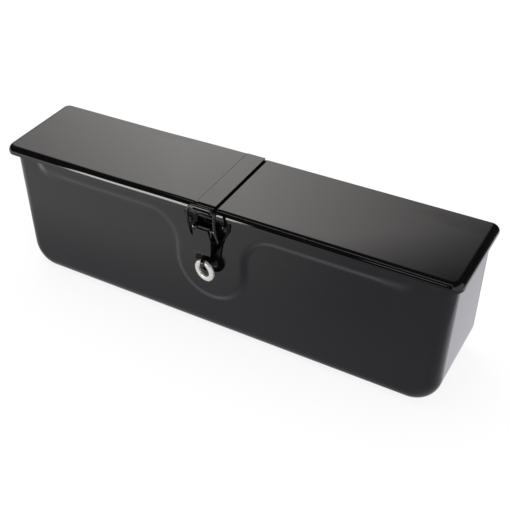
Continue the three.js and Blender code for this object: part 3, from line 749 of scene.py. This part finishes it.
rivetSet = {
    "head": 3.3,
    "height": 1.7,
    "shank": 1.6,
    "tail": 2.6,
    "tailHeight": 0.9,
    "tiltShare": 0.62,   # of the head's width, that a slanted rivet adds to its box
    "sides": 32,
}


def makeRivet(node, s, outward):
    low, high = (np.array(corner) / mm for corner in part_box(node))
    outward = np.array(outward, float) / np.linalg.norm(outward)
    middle = (low + high) / 2
    length = s["tailHeight"] + s["height"]
    # the box is longer than the rivet is wide only along its axis, so its grip is what is left
    across = np.abs(outward) @ (high - low)
    tilted = s["head"] * 2 * (1 - outward[np.argmax(np.abs(outward))] ** 2) ** 0.5
    grip = across - length - tilted * s["tiltShare"]
    dome = np.linspace(0, math.pi / 2, 10)
    end = -grip - s["tailHeight"]
    profile = np.concatenate([
        [[0, end], [s["tail"] * 0.9, end], [s["tail"], -grip - s["tailHeight"] * 0.6],
         [s["tail"], -grip], [s["shank"], -grip], [s["shank"], 0], [s["head"] * 0.97, 0]],
        np.column_stack([s["head"] * np.cos(dome), s["height"] * (0.12 + 0.88 * np.sin(dome))])])
    centre = middle - outward * (profile[:, 1].min() + profile[:, 1].max()) / 2
    first = np.cross(outward, [1.0, 0, 0])
    first /= np.linalg.norm(first)
    second = np.cross(outward, first)
    angle = np.linspace(0, 2 * math.pi, s["sides"], endpoint=False)
    spoke = np.cos(angle)[:, None] * first + np.sin(angle)[:, None] * second
    points = centre + profile[:, :1, None] * spoke[None] + profile[:, 1:, None] * outward
    rivet = surface(node + "_head", points, closedColumns=True, flip=True)
    finishPiece(rivet, "box", [node], latchEnamel)


wallOut = onFront(0.0, 0.0, 1.0) - onFront(0.0, 0.0, 0.0)
for i in range(1, 9):
    makeRivet(f"hinge_rivet_{i}", rivetSet, (0, 1, 0))
for i in (1, 2):
    makeRivet(f"base_rivet_{i}", rivetSet, wallOut)
print("rivets made")


# The folded and punched pieces keep their shape, with their edges broken as tumbled steel has
# them: the body, the width of the broken edge, the material and the slot

foldedSet = {
    "back_plate": ("box", 0.35, enamel, "black_paint"),
    "keeper": ("left_half", 0.3, latchEnamel, "black_paint"),
    "latch_base": ("box", 0.35, bracketBlack, "black_paint"),
    "lever": ("latch_lever", 0.35, latchEnamel, "black_paint"),
    "lever_pin": ("box", 0.3, pinSteel, "pin_steel"),
}
for side in ("left", "right"):
    for i in (1, 2):
        hinge = f"{side}_hinge_{i}"
        foldedSet[hinge + "_box_leaf"] = ("box", 0.25, enamel, "black_paint")
        foldedSet[hinge + "_lid_leaf"] = (f"{side}_half", 0.25, enamel, "black_paint")
        foldedSet[hinge + "_pin"] = ("box", 0.25, pinSteel, "pin_steel")

for node, (body, width, material, slotName) in foldedSet.items():
    finishPiece(softenedCopy(node, width), body, [node], material)
print("folded pieces made")


# Floor and lights

studioSet = {
    "floorSize": 8.0,
    "floorColor": (0.9, 0.9, 0.9, 1),
    "floorGlow": 0.86,
    "worldLight": 0.8,
    "lampAim": (0, 0, 0.07),
    "lamps": {
        "topSoftbox": {"place": (-0.5, 0.5, 1.9), "size": 1.8, "power": 22.0},
        "sideSoftbox": {"place": (1.6, -0.6, 1.1), "size": 1.4, "power": 12.0},
    },
}

# Cards and flags are seen in the gloss alone. Each one faces its aim, or lies level where it has
# none; sizes are in metres, and the feather is the soft edge inside it: left, right, low, high.
cardSet = {
    "lidSoftbox": {"place": (-1.23, 1.75, 1.523), "aim": (0.07, 0, 0.213), "size": (2.7, 1.07),
                   "feather": (1.2, 1.26, 0.2, 0.25), "strength": 2.55, "color": (1.0, 0.965, 0.95),
                   "ramp": "LINEAR"},
    "softboxFlag": {"place": (-1.353, 1.916, 1.764), "aim": (0.07, 0, 0.213), "size": (3.4, 1.25),
                    "feather": (0.3, 0.3, 0.1, 0.05), "strength": 0.1, "color": (1, 1, 1)},
    "backFlag": {"place": (0.8, 3.2, 1.7), "aim": (0.8, 0, 1.7), "size": (7.0, 3.4),
                 "feather": (0.3, 0.3, 0.02, 0.02), "strength": 0.03, "color": (1, 1, 1)},
    "overheadFlag": {"place": (-0.2, 0.2, 3.3), "aim": None, "size": (7.0, 6.2),
                     "feather": (0.3, 0.3, 0.3, 0.02), "strength": 0.03, "color": (1, 1, 1)},
    "frontFlag": {"place": (-0.9, -2.8, 1.85), "aim": (-0.9, 0, 1.85), "size": (5.0, 3.1),
                  "feather": (0.8, 0.3, 0.2, 0.02), "strength": 0.03, "color": (1, 1, 1)},
    "leftFlag": {"place": (-3.2, -0.1, 2.35), "aim": (0, -0.1, 2.35), "size": (5.8, 1.8),
                 "feather": (0.3, 0.3, 0.02, 0.02), "strength": 0.04, "color": (1, 1, 1)},
    "lowLeftFlag": {"place": (-3.2, -0.7, 0.9), "aim": (0, -0.7, 0.9), "size": (4.6, 1.2),
                    "feather": (0.3, 0.2, 0.1, 0.02), "strength": 0.04, "color": (1, 1, 1)},
    "overheadStrip": {"place": (-0.2, -0.42, 1.6), "aim": (0, 0, 0.14), "size": (1.9, 0.13),
                      "feather": (0.3, 0.3, 0.04, 0.04), "strength": 4.0, "color": (1, 1, 1)},
    "frontStrip": {"place": (-0.874, -1.340, 0.34), "aim": (0, 0, 0.14), "size": (0.51, 0.68),
                   "feather": (0.04, 0.05, 0.02, 0.12), "strength": 12.0, "color": (1, 0.99, 0.96)},
    "frontEdge": {"place": (-0.3, -1.5, 1.3), "aim": (0, 0, 0.14), "size": (0.34, 0.3),
                  "feather": (0.06, 0.06, 0.05, 0.05), "strength": 2.2, "color": (1, 1, 1)},
    "frontFloorFlag": {"place": (0.5, -1.7, 0.0015), "aim": None, "size": (1.9, 2.3),
                       "feather": (0.25, 0.3, 0.1, 0.15), "strength": 0.05, "color": (1, 1, 1)},
    "frontGlow": {"place": (-0.62, -0.85, 0.002), "aim": None, "size": (0.8, 1.0),
                  "feather": (0.2, 0.2, 0.35, 0.35), "strength": 3.0, "color": (1, 1, 1)},
    "frontShade": {"place": (0.3, -0.29, 0.001), "aim": None, "size": (1.0, 0.7),
                   "feather": (0.35, 0.3, 0.2, 0.02), "strength": 0.51,
                   "color": (0.97, 0.98, 1.07)},
    "nearShade": {"place": (-0.06, -0.09, 0.003), "aim": None, "size": (0.66, 0.22),
                  "feather": (0.1, 0.3, 0.17, 0.02), "strength": 0.6, "color": (0.98, 0.98, 1.05)},
    "endGlow": {"place": (0.27, 0.1, 0.004), "aim": None, "size": (0.18, 0.36),
                "feather": (0.055, 0.04, 0.11, 0.06), "strength": 1.08,
                "color": (0.985, 0.98, 1.04)},
    "backShade": {"place": (1.45, 1.45, 0.002), "aim": None, "size": (2.2, 2.4),
                  "feather": (0.08, 0.3, 0.08, 0.3), "strength": 0.04, "color": (1, 1, 1)},
}


def seenRays(tree):
    # 1 where the camera looks, straight, in a mirror or through glass
    path = tree.nodes.new("ShaderNodeLightPath")
    seen = mathNode(tree, "MAXIMUM", path.outputs["Is Camera Ray"], path.outputs["Is Glossy Ray"])
    return mathNode(tree, "MAXIMUM", seen, path.outputs["Is Transmission Ray"])


def makeFloor(s):
    half = s["floorSize"] / 2
    mesh = bpy.data.meshes.new("floor")
    corners = [(-half, -half, 0), (half, -half, 0), (half, half, 0), (-half, half, 0)]
    mesh.from_pydata(corners, [], [(0, 1, 2, 3)])
    floor = bpy.data.objects.new("floor", mesh)
    bpy.context.scene.collection.objects.link(floor)
    material = bpy.data.materials.new("floorPaper")
    material.use_nodes = True
    tree = material.node_tree
    tree.nodes.clear()
    paper = tree.nodes.new("ShaderNodeBsdfDiffuse")
    paper.inputs["Color"].default_value = s["floorColor"]
    glow = tree.nodes.new("ShaderNodeEmission")
    share = mathNode(tree, "MULTIPLY", seenRays(tree), s["floorGlow"])
    mix = tree.nodes.new("ShaderNodeMixShader")
    out = tree.nodes.new("ShaderNodeOutputMaterial")
    tree.links.new(share, mix.inputs["Fac"])
    tree.links.new(paper.outputs[0], mix.inputs[1])
    tree.links.new(glow.outputs[0], mix.inputs[2])
    tree.links.new(mix.outputs[0], out.inputs["Surface"])
    mesh.materials.append(material)


def makeWorld(s):
    world = bpy.data.worlds.new("studio")
    bpy.context.scene.world = world
    world.use_nodes = True
    tree = world.node_tree
    background = tree.nodes["Background"]
    extra = mathNode(tree, "MULTIPLY", seenRays(tree), 1 - s["worldLight"])
    tree.links.new(mathNode(tree, "ADD", extra, s["worldLight"]), background.inputs["Strength"])
    background.inputs["Color"].default_value = (1, 1, 1, 1)


def facing(place, aim):
    # +Z of the lamp or card points from its aim back to it, so that it looks down at the aim
    back = Vector(place) - Vector(aim)
    turned = back.to_track_quat("Z", "Y").to_matrix().to_4x4()
    return Matrix.Translation(Vector(place)) @ turned


def makeSoftbox(name, s, aim):
    data = bpy.data.lights.new(name, "AREA")
    data.shape = "SQUARE"
    data.size = s["size"]
    data.energy = s["power"]
    lamp = bpy.data.objects.new(name, data)
    lamp.matrix_world = facing(s["place"], aim)
    lamp.visible_glossy = False
    bpy.context.scene.collection.objects.link(lamp)


def cardMaterial(name, s):
    # the glow fades to clear over each side's feather
    material = bpy.data.materials.new(name)
    material.use_nodes = True
    tree = material.node_tree
    tree.nodes.clear()
    place = tree.nodes.new("ShaderNodeTexCoord").outputs["Object"]
    split = tree.nodes.new("ShaderNodeSeparateXYZ")
    tree.links.new(place, split.inputs[0])
    width, height = (value / 2 for value in s["size"])
    left, right, low, high = s["feather"]
    mask = None
    for axis, half, feather, side in ((0, width, left, 1), (0, width, right, -1),
                                      (1, height, low, 1), (1, height, high, -1)):
        ramp = tree.nodes.new("ShaderNodeMapRange")
        ramp.interpolation_type = s.get("ramp", "SMOOTHERSTEP")
        ramp.inputs["From Min"].default_value = -half * side
        ramp.inputs["From Max"].default_value = (-half + feather) * side
        tree.links.new(split.outputs[axis], ramp.inputs["Value"])
        fade = ramp.outputs[0]
        mask = fade if mask is None else mathNode(tree, "MULTIPLY", mask, fade)
    glow = tree.nodes.new("ShaderNodeEmission")
    glow.inputs["Color"].default_value = (*s["color"], 1)
    glow.inputs["Strength"].default_value = s["strength"]
    clear = tree.nodes.new("ShaderNodeBsdfTransparent")
    mix = tree.nodes.new("ShaderNodeMixShader")
    out = tree.nodes.new("ShaderNodeOutputMaterial")
    tree.links.new(mask, mix.inputs["Fac"])
    tree.links.new(clear.outputs[0], mix.inputs[1])
    tree.links.new(glow.outputs[0], mix.inputs[2])
    tree.links.new(mix.outputs[0], out.inputs["Surface"])
    return material


def makeCard(name, s):
    width, height = (value / 2 for value in s["size"])
    mesh = bpy.data.meshes.new(name)
    corners = [(-width, -height, 0), (width, -height, 0), (width, height, 0), (-width, height, 0)]
    mesh.from_pydata(corners, [], [(0, 1, 2, 3)])
    mesh.materials.append(cardMaterial(name, s))
    card = bpy.data.objects.new(name, mesh)
    if s["aim"]:
        card.matrix_world = facing(s["aim"], s["place"])
    card.matrix_world.translation = Vector(s["place"])
    card.visible_camera = card.visible_diffuse = card.visible_shadow = False
    bpy.context.scene.collection.objects.link(card)


makeFloor(studioSet)
makeWorld(studioSet)
for name, softbox in studioSet["lamps"].items():
    makeSoftbox(name, softbox, studioSet["lampAim"])
for name, card in cardSet.items():
    makeCard(name, card)
bpy.context.scene.view_settings.view_transform = "Standard"
print("studio made")
